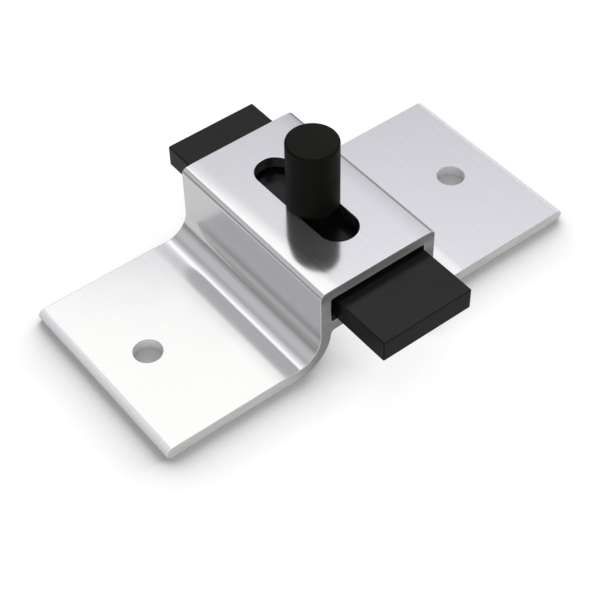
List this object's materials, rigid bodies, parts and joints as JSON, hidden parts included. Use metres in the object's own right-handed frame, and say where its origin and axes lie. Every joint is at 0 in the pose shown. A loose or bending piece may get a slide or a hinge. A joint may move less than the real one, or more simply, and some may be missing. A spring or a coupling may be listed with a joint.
{
  "type": "slide latch",
  "caption": "Surface-mounted slide latch: an extruded aluminium hat-section housing with a screw hole in each flange, and a flat black bolt moved by a knob through a slot.",
  "frame": {"origin": "midway between the two screw holes, on the back face that lies against the door", "axes": "+X along the housing from flange to flange, +Y along the bolt's slide, +Z out of the door"},
  "size_m": [0.1142, 0.0781, 0.0404],
  "materials": {
    "housing": "bright polished, with matt saw-cut ends",
    "bolt": "matt charcoal black",
    "knob": "satin black",
    "screw": "plain zinc-plated steel"
  },
  "bodies": {
    "housing": {"housing": "housing"},
    "bolt": {"slide_bolt": "bolt", "knob": "knob", "knob_screw": "screw"}
  },
  "joints": [
    {"name": "bolt_slide", "type": "slide", "parent": "housing", "child": "bolt", "axis": [0, 1, 0], "range_m": [-0.00975, 0.01325]}
  ]
}
